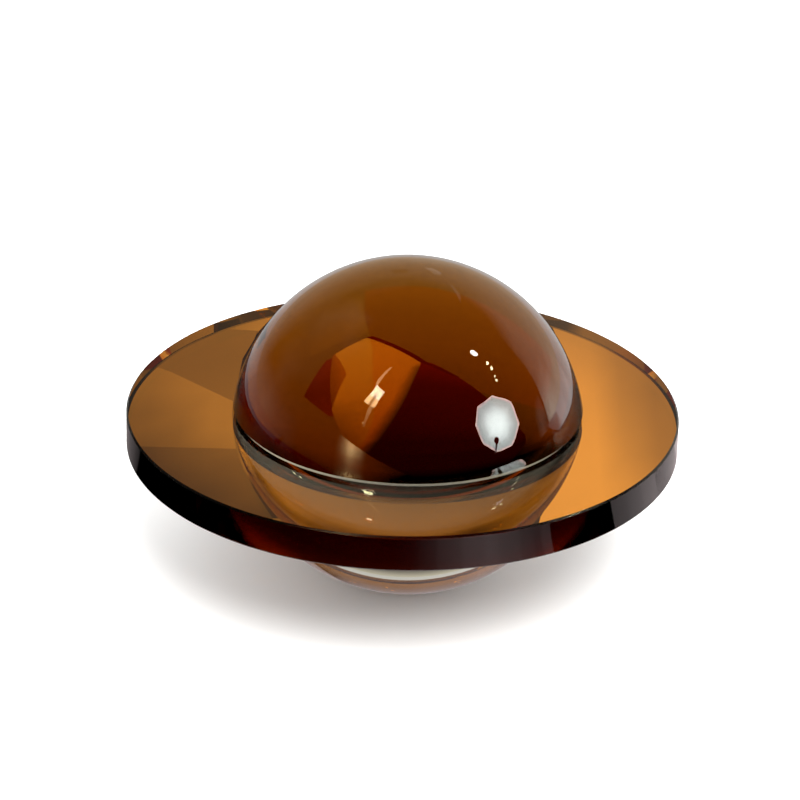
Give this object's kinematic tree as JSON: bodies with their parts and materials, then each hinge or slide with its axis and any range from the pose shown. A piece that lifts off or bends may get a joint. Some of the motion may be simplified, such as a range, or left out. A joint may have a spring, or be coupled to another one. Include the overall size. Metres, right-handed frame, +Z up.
{
  "type": "glass planet ornament",
  "caption": "Solid crystal ball ornament shaped like a ringed planet: a clear ball sawn in two, its halves bonded above and below a round amber glass plate.",
  "frame": {"origin": "on the plane that the ornament stands on, on the axis of the ring; the flat ground on the underside of the ball is centred 1.4 mm beside it, towards +X", "axes": "+Z up, along the axis of the ring; +X from the ring's axis towards the ball's, which is 1.4 mm away and parallel"},
  "size_m": [0.15, 0.15, 0.09],
  "materials": {
    "amber_plate_glass": "polished amber plate glass with a polished rim, tinted in the mass, see-through",
    "clear_crystal": "polished clear crystal, see-through; it looks amber wherever the plate is seen through it"
  },
  "bodies": {
    "root": {"upper_dome": "clear_crystal", "ring": "amber_plate_glass", "lower_dome": "clear_crystal"}
  },
  "joints": []
}
